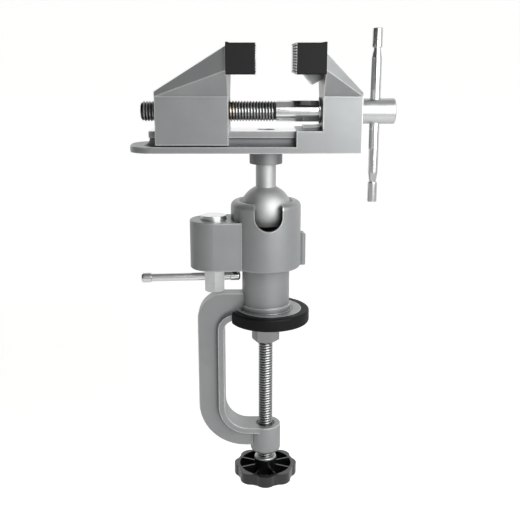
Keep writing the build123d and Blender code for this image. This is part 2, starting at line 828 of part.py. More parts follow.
# Brass nut in the moving jaw
with BuildPart() as jaw_nut:
    with BuildSketch(Plane.YZ.offset(nut_left)):
        with Locations((0, lead_z)):
            Circle(nut_r)
            Circle(lead_r + seat_gap, mode=Mode.SUBTRACT)
    extrude(amount=moving_face - slide_gap - nut_left)
jaw_nut.part.label = "jaw_nut"

# Strips under the rail's lips, with countersunk holes
with BuildPart() as gib_strips:
    with BuildSketch(Plane.XY.offset(gib_low)):
        for side in (-1, 1):
            with Locations((gib_screw_middle, side * (gib_in + gib_out) / 2)):
                Rectangle(moving_face - moving_rear - 2 * gib_end_gap, gib_out - gib_in)
    extrude(amount=gib_top - gib_low)
    with Locations(Plane(origin=(0, 0, gib_low), x_dir=(1, 0, 0), z_dir=(0, 0, -1))):
        with Locations(*[(x, -y) for x, y in gib_screw_places]):
            CounterSinkHole(gib_screw_r + seat_gap, gib_screw_head_r + seat_gap, counter_sink_angle=90)
gib_strips.part.label = "gib_strips"

# Countersunk screws of the strips
with BuildPart() as gib_screws:
    for x, y in gib_screw_places:
        with BuildSketch(Plane(origin=(x, y, 0), x_dir=(1, 0, 0), z_dir=(0, -1, 0))):
            with BuildLine():
                cone = gib_screw_head_r - gib_screw_r
                Polyline(
                    (0, gib_low + seat_gap),
                    (gib_screw_head_r, gib_low + seat_gap),
                    (gib_screw_r, gib_low + seat_gap + cone),
                    (gib_screw_r, gib_top + gib_screw_long - 1),
                    (0, gib_top + gib_screw_long - 1),
                    close=True,
                )
            make_face()
        revolve(axis=Axis((x, y, 0), (0, 0, 1)))
gib_screws.part.label = "gib_screws"


def jaw_pad(grip, towards, back):
    """Rubber sleeve over a jaw's nose, with ribs across its gripping face."""
    high = nose_high + 2 * pad_wall
    with BuildPart() as pad:
        with BuildSketch(Plane.XY.offset(pad_low)):
            with Locations(((grip + back) / 2, 0)):
                Rectangle(abs(grip - back), 2 * (nose_half + pad_wall))
        extrude(amount=high)
        fillet(pad.edges().filter_by(Axis.X), pad_round)
        # the sleeve's open end stands up in a low lip
        with BuildSketch(Plane.XY.offset(pad_low + high / 2)):
            with Locations((back + towards * pad_lip / 2, 0)):
                Rectangle(pad_lip, 2 * (nose_half + pad_wall))
        extrude(amount=high / 2 + pad_lip_proud)
        with BuildSketch(Plane.XY.offset(pad_low + pad_wall - seat_gap)):
            with Locations((back + towards * (nose_reach + seat_gap) / 2, 0)):
                Rectangle(nose_reach + seat_gap, 2 * (nose_half + seat_gap))
        extrude(amount=nose_high + 2 * seat_gap, mode=Mode.SUBTRACT)
        with BuildSketch(Plane.XZ):
            with Locations((grip, pad_low + high / 2)):
                with GridLocations(1, grip_pitch, 1, grip_grooves):
                    Rectangle(2 * grip_groove_deep, grip_groove_wide)
        extrude(amount=nose_half + pad_wall, both=True, mode=Mode.SUBTRACT)
    return pad.part


moving_pad = jaw_pad(moving_grip, 1, moving_pad_back)
moving_pad.label = "moving_pad"
fixed_pad = jaw_pad(fixed_grip, -1, fixed_pad_back)
fixed_pad.label = "fixed_pad"

# Lead screw: thread, plain shank and the round head that holds the bar
lead_axis = Axis((0, 0, lead_z), (1, 0, 0))
clip_right = fixed_face - slide_gap
clip_r = lead_z - (step_top + rest_gusset_high) - clip_over_gusset
with BuildPart() as lead_screw:
    with BuildSketch(Plane.XZ):
        with BuildLine():
            outline = [(lead_left, 0), (lead_left, lead_r - lead_root - 0.6)]
            outline += grooved(lead_left + lead_tip, lead_thread_end, lead_r, lead_root, lead_pitch)
            outline += [(lead_thread_end, shank_r), (head_left, shank_r), (head_left, head_r)]
            outline += [(head_right, head_r), (head_right, 0)]
            Polyline(*[(x, lead_z + radius) for x, radius in outline], close=True)
        make_face()
    revolve(axis=lead_axis)
    chamfer(lead_screw.faces().sort_by(Axis.X)[-1].edges(), 0.6)
    with BuildSketch(Plane.YZ.offset(clip_right)):
        with Locations((0, lead_z)):
            Circle(shank_r + 1)
            Circle(shank_r - clip_groove_deep, mode=Mode.SUBTRACT)
    extrude(amount=-(clip_thick + 2 * seat_gap), mode=Mode.SUBTRACT)
    with BuildSketch(Plane.XY.offset(lead_z - head_r)):
        with Locations((bar_x, 0)):
            Circle(bar_r + seat_gap / 2)
    extrude(amount=2 * head_r, mode=Mode.SUBTRACT)
lead_screw.part.label = "lead_screw"

# Open clip that keeps the lead screw in its bearing
with BuildPart() as lead_clip:
    with BuildSketch(Plane.YZ.offset(clip_right - seat_gap)):
        with Locations((0, lead_z)):
            Circle(clip_r)
            Circle(shank_r - clip_groove_deep + seat_gap, mode=Mode.SUBTRACT)
        with Locations((0, lead_z - clip_r)):
            Rectangle(1.6 * (shank_r - clip_groove_deep), 2 * clip_r, mode=Mode.SUBTRACT)
    extrude(amount=-clip_thick)
lead_clip.part.label = "lead_clip"

# Bar pressed through the head, drawn down to a neck at each end
bar_up_neck = bar_top - top_cap_long
bar_down_neck = bar_low + low_cap_long
with BuildPart() as tommy_bar:
    with BuildSketch(Plane.XZ):
        with BuildLine():
            Polyline(
                (bar_x, bar_down_neck - bar_tail),
                (bar_x + bar_neck_r, bar_down_neck - bar_tail),
                (bar_x + bar_neck_r, bar_down_neck),
                (bar_x + bar_r, bar_down_neck + bar_taper_long),
                (bar_x + bar_r, bar_up_neck - bar_taper_long),
                (bar_x + bar_neck_r, bar_up_neck),
                (bar_x + bar_neck_r, bar_up_neck + bar_tail),
                (bar_x, bar_up_neck + bar_tail),
                close=True,
            )
        make_face()
    revolve(axis=Axis((bar_x, 0, 0), (0, 0, 1)))
tommy_bar.part.label = "tommy_bar"

# Caps on the bar's ends
with BuildPart() as bar_caps:
    with BuildSketch(Plane.XY.offset(bar_low)):
        with Locations((bar_x, 0)):
            Circle(cap_r)
    extrude(amount=low_cap_long)
    with BuildSketch(Plane.XY.offset(bar_up_neck)):
        with Locations((bar_x, 0)):
            Circle(cap_r)
    extrude(amount=top_cap_long)
    chamfer(bar_caps.edges().filter_by(GeomType.CIRCLE), 0.5)
    with BuildSketch(Plane.XY.offset(bar_down_neck - bar_tail - seat_gap)):
        with Locations((bar_x, 0)):
            Circle(bar_neck_r + seat_gap / 2)
    extrude(amount=bar_up_neck - bar_down_neck + 2 * (bar_tail + seat_gap), mode=Mode.SUBTRACT)
bar_caps.part.label = "bar_caps"

# Clamp screw: grooved rod with a ball at its top
thread_top = foot_low - 2
knob_hub_top = knob_low + knob_hub_high
with BuildPart() as clamp_screw:
    with BuildSketch(Plane.XZ):
        with BuildLine():
            rod = grooved(knob_hub_top - knob_screw_deep, thread_top, screw_r, screw_root, screw_pitch)
            outline = [(0, knob_hub_top - knob_screw_deep)]
            outline += [(radius, z) for z, radius in rod]
            outline += [(toe_neck_r, thread_top), (toe_neck_r, toe_z), (0, toe_z)]
            Polyline(*outline, close=True)
        make_face()
    revolve(axis=Axis.Z)
    with Locations((0, 0, toe_z)):
        Sphere(toe_r)
clamp_screw.part.label = "clamp_screw"

# Thrust washer between the screw's ball and the roof of the foot
with BuildPart() as thrust_washer:
    with BuildSketch(Plane.XY.offset(toe_z + toe_r + seat_gap)):
        Circle(washer_r)
    extrude(amount=washer_thick)
thrust_washer.part.label = "thrust_washer"

# Foot: pressure disc with a six-sided hub
foot_top = -slide_gap
with BuildPart() as pressure_foot:
    with BuildSketch(Plane.XY.offset(foot_top - foot_thick)):
        Circle(foot_r)
    extrude(amount=foot_thick)
    fillet(pressure_foot.faces().sort_by(Axis.Z)[0].edges(), 0.8)
    with BuildSketch(Plane.XY.offset(foot_low)):
        RegularPolygon(foot_hub_flats / 2, 6, major_radius=False, rotation=foot_hub_turn)
    extrude(amount=foot_top - foot_thick - foot_low)
    chamfer(pressure_foot.faces().sort_by(Axis.Z)[0].edges(), 0.8)
    with BuildSketch(Plane.XY.offset(foot_low + foot_mouth_long)):
        Circle(foot_pocket_r)
    extrude(amount=foot_top - foot_roof - foot_low - foot_mouth_long, mode=Mode.SUBTRACT)
    with BuildSketch(Plane.XY.offset(foot_low)):
        Circle(foot_mouth_r)
    extrude(amount=foot_mouth_long, mode=Mode.SUBTRACT)
pressure_foot.part.label = "pressure_foot"

# Lobed knob, hollow above, with ribs between its hub and its wall
with BuildPart() as clamp_knob:
    with BuildSketch(Plane.XY.offset(knob_low)):
        Circle(knob_valley_r)
        with PolarLocations(knob_r - knob_lobe_r, knob_lobes):
            Circle(knob_lobe_r)
        fillet(vertices(), 2.0)
    extrude(amount=knob_high)
    fillet(clamp_knob.faces().sort_by(Axis.Z)[0].edges(), 1.2)
    with BuildSketch(Plane.XY.offset(knob_low + knob_floor)):
        Circle(knob_valley_r - knob_wall)
        Circle(knob_hub_r, mode=Mode.SUBTRACT)
        with PolarLocations((knob_valley_r + knob_hub_r) / 2, knob_lobes, start_angle=180 / knob_lobes):
            Rectangle(knob_valley_r, knob_rib_thick, mode=Mode.SUBTRACT)
    extrude(amount=knob_high, mode=Mode.SUBTRACT)
    with BuildSketch(Plane.XY.offset(knob_low)):
        Circle(knob_hub_r)
    extrude(amount=knob_hub_high)
    with BuildSketch(Plane.XY.offset(knob_hub_top)):
        Circle(screw_r + run_gap)
    extrude(amount=-(knob_screw_deep + seat_gap), mode=Mode.SUBTRACT)
clamp_knob.part.label = "clamp_knob"

# Steel ring nut that locks the knob on the screw
with BuildPart() as knob_nut:
    with BuildSketch(Plane.XY.offset(knob_hub_top + seat_gap)):
        Circle(knob_nut_r)
    extrude(amount=knob_nut_high)
    chamfer(knob_nut.faces().sort_by(Axis.Z)[-1].edges(), 0.6)
    with BuildSketch(Plane.XY.offset(knob_hub_top)):
        Circle(screw_r + run_gap)
    extrude(amount=knob_nut_high + 1, mode=Mode.SUBTRACT)
knob_nut.part.label = "knob_nut"

pieces = [
    clamp_frame.part,
    table_ring.part,
    swivel_bolt.part,
    housing.part,
    socket_base.part,
    base_screws.part,
    seat_cup.part,
    lock_spindle.part,
    lock_disc.part,
    lock_plunger.part,
    lock_lever.part,
    lever_knobs.part,
    ball_stud.part,
    stud_screw.part,
    bed.part,
    fixed_pad,
    moving_jaw.part,
    jaw_nut.part,
    gib_strips.part,
    gib_screws.part,
    moving_pad,
    lead_screw.part,
    lead_clip.part,
    tommy_bar.part,
    bar_caps.part,
    clamp_screw.part,
    thrust_washer.part,
    pressure_foot.part,
    clamp_knob.part,
    knob_nut.part,
]
for piece in pieces:
    export_step(piece, f"parts/{piece.label}.step")
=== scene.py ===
"""Ball vise with a C-clamp: finishes, rounded edges, real screw threads, floor, light and camera."""

import math

import bmesh
import bpy
from bpy.props import FloatProperty, FloatVectorProperty, IntProperty, PointerProperty
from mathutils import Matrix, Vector


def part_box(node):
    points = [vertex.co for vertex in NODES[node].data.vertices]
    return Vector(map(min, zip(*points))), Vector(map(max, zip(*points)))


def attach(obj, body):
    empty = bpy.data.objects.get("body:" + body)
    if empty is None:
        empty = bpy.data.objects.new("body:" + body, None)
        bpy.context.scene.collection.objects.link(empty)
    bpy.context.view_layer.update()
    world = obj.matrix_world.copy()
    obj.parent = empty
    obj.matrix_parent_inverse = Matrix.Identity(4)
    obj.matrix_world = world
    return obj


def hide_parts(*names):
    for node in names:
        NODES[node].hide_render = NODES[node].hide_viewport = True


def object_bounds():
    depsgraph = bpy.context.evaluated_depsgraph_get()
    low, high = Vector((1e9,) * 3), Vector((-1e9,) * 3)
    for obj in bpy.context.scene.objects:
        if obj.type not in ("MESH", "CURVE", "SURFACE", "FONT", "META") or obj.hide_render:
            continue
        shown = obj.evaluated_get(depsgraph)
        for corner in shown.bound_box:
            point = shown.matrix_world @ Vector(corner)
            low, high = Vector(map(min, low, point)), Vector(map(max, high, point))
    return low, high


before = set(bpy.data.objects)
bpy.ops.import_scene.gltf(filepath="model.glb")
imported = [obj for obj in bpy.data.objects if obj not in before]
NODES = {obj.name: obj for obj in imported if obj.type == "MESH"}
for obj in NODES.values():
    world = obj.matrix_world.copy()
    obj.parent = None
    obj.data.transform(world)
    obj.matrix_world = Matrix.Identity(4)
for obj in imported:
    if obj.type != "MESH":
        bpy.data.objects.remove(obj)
CAD_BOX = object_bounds()
MM = 0.001

bl_info = {
    "name": "Ball vise",
    "version": (1, 0, 0),
    "blender": (4, 5, 0),
    "location": "3D View > Sidebar > Ball vise",
    "description": "Dresses the packed ball vise: castings, threads, rubber, knob and studio",
    "category": "Object",
}

CASTINGS = ("clamp_frame", "housing", "bed", "moving_jaw")

# Turned pieces, each with the axis that its tool marks run round
TURNED = {"ball_stud": "Z", "pressure_foot": "Z"}
HARDWARE = {
    "swivel_bolt": "Z", "base_screws": "Z", "stud_screw": "Z", "knob_nut": "Z", "gib_strips": "X", "lock_plunger": "Z",
}
SATIN = {"lock_disc": "Z", "lock_spindle": "Z"}
PLATED = {"lock_lever": "X", "lever_knobs": "X", "tommy_bar": "Z", "bar_caps": "Z", "lead_clip": "X"}

# Rubber pads, each with the place along X where it grips
PADS = {"fixed_pad": 18.5 * MM, "moving_pad": -6.7 * MM}

# Roughness of each metal finish, from its smoothest patches to its dullest
BALL_ROUGH = (0.52, 0.66)
STEEL_ROUGH = (0.36, 0.5)
SATIN_ROUGH = (0.3, 0.4)
BRIGHT_ROUGH = (0.17, 0.26)

# Share of its brightness that a finish keeps where it is dull, dirty or darkened by painted shade
FOOT_TONE = 0.7
PLATING_TONE = 0.88
HEAD_TONE = 0.74
COLLAR_TONE = 0.5
HOLE_SHADE_TONE = 0.2
ROOT_SHADE_AND_OIL_TONE = 0.1
BALL_SHADE_AND_GREASE_TONE = 0.04
HOUSING_SHADE_TONE = 0.03

# Places on the part at rest
RAIL_TOP = 136.4 * MM  # milled face that the moving jaw slides on
RAIL_HALF = 13.4 * MM  # half of that face's width
LEAD_PLAIN = 6.8 * MM  # where the lead screw's thread gives way to its plain shank
HEAD_LEFT = 63.2 * MM  # where its head starts
COLLAR_LOW = 113.4 * MM  # underside of the collar on the ball's neck
HOUSING_SHADE_TOP = 85.2 * MM  # top of the painted shade inside the housing
HOUSING_SKIN = 23.7 * MM  # radius just inside the housing's outer face
CUP_RIM = 71.6 * MM  # rim of the cup that the ball sits in, below which the ball is painted black with shade and grease
CLAMP_PLAIN = -17.5 * MM  # where the clamp screw's thread ends
THROAT_LOW = -81.4 * MM  # top face of the lower arm, that the clamp screw comes through
HOLE_SHADE_EDGE = (6.6 * MM, 7.6 * MM)  # how far from that hole the painted shade starts to thin, and ends
CLAMP_TRAVEL = 50 * MM  # how far the clamp screw comes down

MERGE = 0.002 * MM  # corners nearer than this are one corner
SLACK = 0.01 * MM  # for telling which side of a plane a face is on
PLAIN_SLOT, THREAD_SLOT, HEAD_SLOT = 0, 1, 2  # a screw's materials

# Studio, in metres
CAMERA_PLACE = (-4.06 * MM, -536 * MM, 185.1 * MM)
CAMERA_DOWN = math.radians(14.7)  # how far the photograph looks down
LIGHTS = {"key": ((0.23, -0.33, 0.24), 0.4), "fill": ((0.05, -0.95, 0.25), 0.5)}  # place and width
LIGHT_AIM = Vector((0.0, 0.0, 0.05))
PAPER_HALF = 4.0  # half of the paper's width
PAPER_FRONT = -3.0
SWEEP_START = 1.2  # where the paper starts to rise
SWEEP_RADIUS = 1.2
SWEEP_STEPS = 18
PAPER_TOP = 4.0
GLOW_NEAR, GLOW_FAR = 0.3, 1.3  # the paper's glow changes between these places along Y


def linear(code):
    """Linear RGBA of an sRGB hex code."""
    parts = [int(code[i : i + 2], 16) / 255 for i in (0, 2, 4)]
    return tuple(c / 12.92 if c <= 0.04045 else ((c + 0.055) / 1.055) ** 2.4 for c in parts) + (1.0,)


def dimmed(colour, share):
    """A colour that keeps this share of its brightness."""
    return tuple(share * c for c in colour[:3]) + (1.0,)


# Sizes and colours that a user would change

COLOUR = {"subtype": "COLOR", "size": 4, "min": 0.0, "max": 1.0}


class VisePaint(bpy.types.PropertyGroup):
    paint: FloatVectorProperty(
        name="Paint", description="Silver-grey paint of the castings", default=linear("989A9B"), **COLOUR
    )
    steel: FloatVectorProperty(
        name="Steel", description="Turned steel of the ball and the foot", default=linear("C4C5C5"), **COLOUR
    )
    plating: FloatVectorProperty(
        name="Plating", description="Plating of the bar, the lever and the hub", default=linear("F4F5F5"), **COLOUR
    )
    rubber: FloatVectorProperty(
        name="Rubber", description="Rubber of the jaws' pads", default=linear("161617"), **COLOUR
    )
    knob: FloatVectorProperty(
        name="Knob", description="Moulded plastic of the knob", default=linear("0D0D0E"), **COLOUR
    )


class ViseEdges(bpy.types.PropertyGroup):
    cast: FloatProperty(
        name="Cast edge", description="Radius of a casting's painted edge", subtype="DISTANCE", default=0.55 * MM
    )
    metal: FloatProperty(
        name="Turned edge", description="Broken edge of a turned or plated piece", subtype="DISTANCE", default=0.3 * MM
    )
    rubber: FloatProperty(
        name="Rubber edge", description="Radius of the pads' and the ring's edges", subtype="DISTANCE",
        default=0.25 * MM,
    )
    plastic: FloatProperty(
        name="Knob edge", description="Radius of the knob's moulded edges", subtype="DISTANCE", default=0.35 * MM
    )


class ViseThreads(bpy.types.PropertyGroup):
    pitch: FloatProperty(
        name="Pitch", description="Pitch of both screws", subtype="DISTANCE", default=2.0 * MM
    )
    lead_radius: FloatProperty(
        name="Lead screw radius", description="Over the crests of the lead screw's thread", subtype="DISTANCE",
        default=6.95 * MM,
    )
    lead_root: FloatProperty(
        name="Lead screw depth", description="Depth of the lead screw's thread", subtype="DISTANCE", default=1.1 * MM
    )
    clamp_radius: FloatProperty(
        name="Clamp screw radius", description="Over the crests of the clamp screw's thread", subtype="DISTANCE",
        default=5.2 * MM,
    )
    clamp_root: FloatProperty(
        name="Clamp screw depth", description="Depth of the clamp screw's thread", subtype="DISTANCE", default=0.8 * MM
    )
    facets: IntProperty(
        name="Facets", description="Steps round one turn of a thread", default=60, min=12, max=96
    )


class ViseStudio(bpy.types.PropertyGroup):
    floor: FloatVectorProperty(
        name="Floor", description="Pale floor under the vise", default=linear("F7F7F6"), **COLOUR
    )
    key: FloatProperty(
        name="Key light", description="Soft light close by on the right", subtype="POWER", default=2.15
    )
    fill: FloatProperty(
        name="Fill light", description="Weaker soft light from the front", subtype="POWER", default=0.15
    )
    floor_glow: FloatProperty(
        name="Floor glow", description="Light that the paper under the vise gives it", default=0.1, min=0.0
    )
    back_glow: FloatProperty(
        name="Backdrop glow", description="Light that comes through the paper far behind", default=0.62, min=0.0
    )
    bare_glow: FloatProperty(
        name="Bare paper", description="What the bare paper shows on top of that, so that it stays pale",
        default=0.45, min=0.0,
    )
    lens: FloatProperty(
        name="Lens", description="Focal length on a 36 mm wide sensor", unit="CAMERA", default=54.0
    )


# Materials


def add_node(tree, kind, inputs=(), **settings):
    """Adds a node.

    inputs are a row, in order, or a dictionary. Each is a value, a socket, or a node whose first output
    feeds it.
    """
    node = tree.nodes.new(kind)
    for name, value in settings.items():
        setattr(node, name, value)
    for key, value in inputs.items() if isinstance(inputs, dict) else enumerate(inputs):
        if isinstance(value, bpy.types.Node):
            value = value.outputs[0]
        if isinstance(value, bpy.types.NodeSocket):
            tree.links.new(value, node.inputs[key])
        else:
            node.inputs[key].default_value = value
    return node


def new_material(name, colour):
    """A material of one plain colour: itself, its tree, its shader and the socket that gives a point's place."""
    material = bpy.data.materials.new(name)
    material.use_nodes = True
    tree = material.node_tree
    tree.nodes.clear()
    shader = add_node(tree, "ShaderNodeBsdfPrincipled", {"Base Color": colour})
    add_node(tree, "ShaderNodeOutputMaterial", {"Surface": shader})
    add_node(tree, "ShaderNodeTexCoord")
    return (material, *surface(material))


def surface(material):
    """A material's tree, its shader and the socket that gives a point's place."""
    kinds = {node.type: node for node in material.node_tree.nodes}
    return material.node_tree, kinds["BSDF_PRINCIPLED"], kinds["TEX_COORD"].outputs["Object"]


def paint_over(material, share, colour, blend="MIX"):
    """Mixes this share of another colour or tone into a material's own."""
    tree, shader, _ = surface(material)
    socket = shader.inputs["Base Color"]
    now = socket.links[0].from_socket if socket.links else tuple(socket.default_value)
    # a Mix node's colour inputs are numbers 6 and 7, and its colour output is number 2
    mix = add_node(tree, "ShaderNodeMix", {0: share, 6: now, 7: colour}, data_type="RGBA", blend_type=blend)
    tree.links.new(mix.outputs[2], socket)


def darken(material, value, low, high, at_low, at_high=1.0):
    """Multiplies a material's colour by a tone: at_low up to where value is low, at_high from where it is high."""
    tone = add_node(material.node_tree, "ShaderNodeMapRange", (value, low, high, at_low, at_high))
    paint_over(material, 1.0, tone, "MULTIPLY")


def off_axis(material, across, middle):
    """How far a point is from an axis through middle; across is 1 across the axis and 0 along it."""
    tree, _, place = surface(material)
    shift = tuple(-a * m for a, m in zip(across, middle))
    flat = add_node(tree, "ShaderNodeVectorMath", (place, across, shift), operation="MULTIPLY_ADD")
    return add_node(tree, "ShaderNodeVectorMath", (flat,), operation="LENGTH").outputs["Value"]


def cast_paint(colour, name):
    """Satin silver paint sprayed on die castings.

    Metal flake in the lacquer makes the tone shift with the angle. The skin is faintly pebbled, as the
    casting under it is. A lighter line is painted along the edges, partly thin paint and partly a painted
    highlight, and painted shade darkens the creases.
    """
    material, tree, shader, place = new_material(name, colour)
    # drifts of tone 14 mm across, flake drawn at 0.35 mm so that it shows, and orange peel of 1.1 mm
    drift, flake, pebble = (
        add_node(tree, "ShaderNodeTexNoise", {"Vector": place, "Scale": 1 / size, "Detail": detail})
        for size, detail in ((14 * MM, 3.0), (0.35 * MM, 2.0), (1.1 * MM, 2.0))
    )
    tone = add_node(tree, "ShaderNodeMath", (drift, flake), operation="ADD")
    paint_over(material, 1.0, add_node(tree, "ShaderNodeMapRange", (tone, 0.6, 1.4, 0.9, 1.06)), "MULTIPLY")
    # painted highlight: within 1.1 mm of an edge the paint is mixed toward a light grey, partly thin paint
    rounded = add_node(tree, "ShaderNodeBevel", {"Radius": 1.1 * MM}, samples=4)
    facing = add_node(tree, "ShaderNodeNewGeometry").outputs["Normal"]
    turned = add_node(tree, "ShaderNodeVectorMath", (rounded, facing), operation="DOT_PRODUCT").outputs["Value"]
    edge = add_node(tree, "ShaderNodeMapRange", (turned, 0.995, 0.9, 0.0, 0.95))
    paint_over(material, edge, linear("F0F1F1"))
    # painted shade, darker within 3.5 mm of a crease
    open_sky = add_node(tree, "ShaderNodeAmbientOcclusion", {"Distance": 3.5 * MM}, samples=8, only_local=True)
    darken(material, open_sky.outputs["AO"], 0.5, 0.95, 0.3)
    grain = add_node(tree, "ShaderNodeMapRange", (flake, 0.3, 0.7, 0.34, 0.44))
    gloss = add_node(tree, "ShaderNodeMath", (edge, -0.12, grain), operation="MULTIPLY_ADD")
    bump = add_node(tree, "ShaderNodeBump", {"Height": pebble, "Strength": 0.12, "Distance": 0.12 * MM})
    tree.links.new(gloss.outputs[0], shader.inputs["Roughness"])
    tree.links.new(bump.outputs[0], shader.inputs["Normal"])
    shader.inputs["Metallic"].default_value = 0.55
    return material


def mill(material, height, half):
    """Bares the metal of a level face at this height, out to half each way along Y.

    A cutter leaves it bright, with fine lines along X.
    """
    tree, shader, place = surface(material)
    parts = add_node(tree, "ShaderNodeSeparateXYZ", (place,)).outputs
    level = add_node(tree, "ShaderNodeMath", (parts[2], height, 0.15 * MM), operation="COMPARE")
    inside = add_node(tree, "ShaderNodeMath", (parts[1], 0.0, half), operation="COMPARE")
    bare = add_node(tree, "ShaderNodeMath", (level, inside), operation="MULTIPLY")
    # cutter lines about 20 mm long, drawn 0.5 mm apart so that they show
    scale = (1 / (20 * MM), 1 / (0.5 * MM), 1.0)
    squeeze = add_node(tree, "ShaderNodeMapping", {"Vector": place, "Scale": scale})
    lines = add_node(tree, "ShaderNodeTexNoise", {"Vector": squeeze, "Scale": 1.0, "Detail": 2.0})
    paint_over(material, bare, add_node(tree, "ShaderNodeMapRange", (lines, 0.3, 0.7, 0.82, 0.94)))
    gloss = add_node(tree, "ShaderNodeMapRange", (lines, 0.3, 0.7, 0.16, 0.28))
    for name, value in (("Metallic", 1.0), ("Roughness", gloss)):
        socket = shader.inputs[name]
        painted = socket.links[0].from_socket if socket.links else socket.default_value
        # a Mix node's plain numbers are inputs 2 and 3
        mix = add_node(tree, "ShaderNodeMix", {0: bare, 2: painted, 3: value})
        tree.links.new(mix.outputs[0], socket)


def turned_metal(name, colour, axis, rough, marks, bite=0.12):
    """A metal piece from the lathe: fine lines run round its axis and stretch the highlights across them.

    rough is the least and the most roughness, marks is the spacing of the tool marks in metres, and bite is
    how strongly they show.
    """
    material, tree, shader, place = new_material(name, colour)
    along, across = 1 / marks, 1 / (30 * MM)
    scale = {"X": (along, across, across), "Z": (across, across, along)}[axis]
    squeeze = add_node(tree, "ShaderNodeMapping", {"Vector": place, "Scale": scale})
    lines = add_node(tree, "ShaderNodeTexNoise", {"Vector": squeeze, "Scale": 1.0, "Detail": 4.0})
    # patches of handling, 6 mm across
    haze = add_node(tree, "ShaderNodeTexNoise", {"Vector": place, "Scale": 1 / (6 * MM), "Detail": 3.0})
    both = add_node(tree, "ShaderNodeMath", (lines, haze), operation="ADD")
    darken(material, both, 0.6, 1.4, 0.9)
    gloss = add_node(tree, "ShaderNodeMapRange", (both, 0.6, 1.4, *rough))
    bump = add_node(tree, "ShaderNodeBump", {"Height": lines, "Strength": bite, "Distance": 0.03 * MM})
    tree.links.new(gloss.outputs[0], shader.inputs["Roughness"])
    tree.links.new(bump.outputs[0], shader.inputs["Normal"])
    shader.inputs["Metallic"].default_value = 1.0
    return material


def moulded(name, colour, pale, grain, rough, depth, coat=0.0, shine=0.5):
    """Moulded rubber or plastic: the mould's texture breaks up the gloss, and dust greys the high spots.

    pale is the colour of the dusty spots, grain the texture's size in metres, depth its height and rough the
    least and the most roughness. coat is a glossy skin's weight, and shine is the specular level, which the
    chalky skin of soft rubber halves.
    """
    material, tree, shader, place = new_material(name, colour)
    fine = add_node(tree, "ShaderNodeTexNoise", {"Vector": place, "Scale": 1 / grain, "Detail": 3.0})
    # patches of dust and flow, 9 mm across
    broad = add_node(tree, "ShaderNodeTexNoise", {"Vector": place, "Scale": 1 / (9 * MM), "Detail": 2.0})
    both = add_node(tree, "ShaderNodeMath", (fine, broad), operation="ADD")
    paint_over(material, add_node(tree, "ShaderNodeMapRange", (both, 0.75, 1.5, 0.0, 0.6)), pale)
    gloss = add_node(tree, "ShaderNodeMapRange", (both, 0.6, 1.4, *rough))
    bump = add_node(tree, "ShaderNodeBump", {"Height": fine, "Strength": 0.25, "Distance": depth})
    tree.links.new(gloss.outputs[0], shader.inputs["Roughness"])
    tree.links.new(bump.outputs[0], shader.inputs["Normal"])
    shader.inputs["Specular IOR Level"].default_value = shine
    shader.inputs["Coat Weight"].default_value = coat
    return material


def dust_and_sheen_tips(material, grip):
    """Pale dust and a painted highlight on the tips of a pad's ribs, within 0.35 mm of the place along X where it
    grips.
    """
    tree, _, place = surface(material)
    parts = add_node(tree, "ShaderNodeSeparateXYZ", (place,)).outputs
    tip = add_node(tree, "ShaderNodeMath", (parts[0], grip, 0.35 * MM), operation="COMPARE")
    paint_over(material, tip, linear("DADBDB"))


# Meshes


def finish_with(obj, material):
    """Puts one material on every slot of an object."""
    if not obj.material_slots:
        obj.data.materials.append(material)
    for slot in obj.material_slots:
        slot.link = "OBJECT"
        slot.material = material


def soften(obj, radius, segments=2):
    """Rounds an object's sharp edges: its triangles are joined, flat ones made one face, and edges bevelled."""
    weld = obj.modifiers.new("Join triangles", "WELD")
    weld.merge_threshold = MERGE
    flat = obj.modifiers.new("Flat faces", "DECIMATE")
    flat.decimate_type = "DISSOLVE"
    flat.angle_limit = math.radians(0.6)
    bevel = obj.modifiers.new("Rounded edges", "BEVEL")
    bevel.width = radius
    bevel.segments = segments
    bevel.limit_method = "ANGLE"
    bevel.angle_limit = math.radians(32)
    bevel.miter_outer = "MITER_ARC"
    normals = obj.modifiers.new("Face normals", "WEIGHTED_NORMAL")
    normals.mode = "FACE_AREA"
    normals.weight = 60


def merged_copy(node, keep):
    """A copy of part of a CAD node's mesh: its triangles joined, and only the faces that keep() accepts."""
    mesh = NODES[node].data.copy()
    work = bmesh.new()
    work.from_mesh(mesh)
    bmesh.ops.remove_doubles(work, verts=work.verts, dist=MERGE)
    unwanted = [face for face in work.faces if not keep(face)]
    bmesh.ops.delete(work, geom=unwanted, context="FACES")
    work.to_mesh(mesh)
    work.free()
    return mesh


def place_mesh(name, mesh):
    """A new object at the origin for a mesh that is already in its place."""
    obj = bpy.data.objects.new(name, mesh)
    bpy.context.scene.collection.objects.link(obj)
    return obj


# Screw thread, made by a rule: one profile wound along a helix

THREAD_INPUTS = {
    "Float": ("Length", "Radius", "Depth", "Pitch", "Point"),
    "Int": ("Facets", "Turns"),
    "Vector": ("Place", "Direction"),
    "Material": ("Material",),
}
ROWS = 4.0  # rows of corners in a pitch: end of the root, start and end of the crest, start of the next root
EARLY_TURNS = 2.0  # turns that the helix starts below the screw's end
SPARE_ROWS = 14.0  # rows beyond the turns, for the early turns and to close the ends
ROOT_END = 0.1  # where the root ends, as a share of the pitch
FLANK = 0.33  # a flank's length along the screw, as a share of the pitch
CREST_CUT = 0.18  # what a crest is shorter than a flank by, as a share of the pitch

